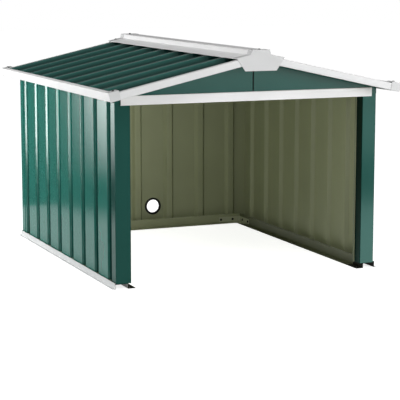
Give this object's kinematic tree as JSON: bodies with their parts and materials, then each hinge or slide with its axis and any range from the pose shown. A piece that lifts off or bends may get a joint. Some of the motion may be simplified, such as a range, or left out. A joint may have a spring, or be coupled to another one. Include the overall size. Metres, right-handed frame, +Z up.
{
  "type": "robot mower garage",
  "caption": "Small open-fronted shed of ribbed sheet steel with a gable roof, white edge trims and folded base rails, that shelters a robot lawn mower.",
  "frame": {"origin": "on the ground at the middle of the garage, under the ridge and halfway between its front and back", "axes": "+X to the right when facing the open front, +Y from the open front to the back wall along the ridge, +Z up"},
  "size_m": [0.873, 1.0384, 0.6419],
  "materials": {
    "green_paint": "glossy green coating",
    "roof_paint": "glossy green coating, seen darker on the roof",
    "white_paint": "satin white coating",
    "bracket_steel": "dull olive back coating",
    "black_plastic": "matt black"
  },
  "bodies": {
    "root": {"wall_left": "green_paint", "wall_right": "green_paint", "wall_back": "green_paint", "front_post_left": "green_paint", "front_post_right": "green_paint", "back_corner_left": "green_paint", "back_corner_right": "green_paint", "top_rail_left": "green_paint", "top_rail_right": "green_paint", "top_rail_back": "green_paint", "gable_front_left": "green_paint", "gable_front_right": "green_paint", "gable_back_left": "green_paint", "gable_back_right": "green_paint", "roof_left": "roof_paint", "roof_right": "roof_paint", "base_rail_left": "white_paint", "base_rail_right": "white_paint", "base_rail_back": "white_paint", "front_lintel": "white_paint", "ridge_cap": "white_paint", "ridge_end_front": "white_paint", "ridge_end_back": "white_paint", "rake_trim_front_left": "white_paint", "rake_trim_front_right": "white_paint", "rake_trim_back_left": "white_paint", "rake_trim_back_right": "white_paint", "eave_trim_left": "white_paint", "eave_trim_right": "white_paint", "eave_end_front_left": "white_paint", "eave_end_front_right": "white_paint", "eave_end_back_left": "white_paint", "eave_end_back_right": "white_paint", "corner_bracket_left": "bracket_steel", "corner_bracket_right": "bracket_steel", "cable_grommet": "black_plastic"}
  },
  "joints": []
}
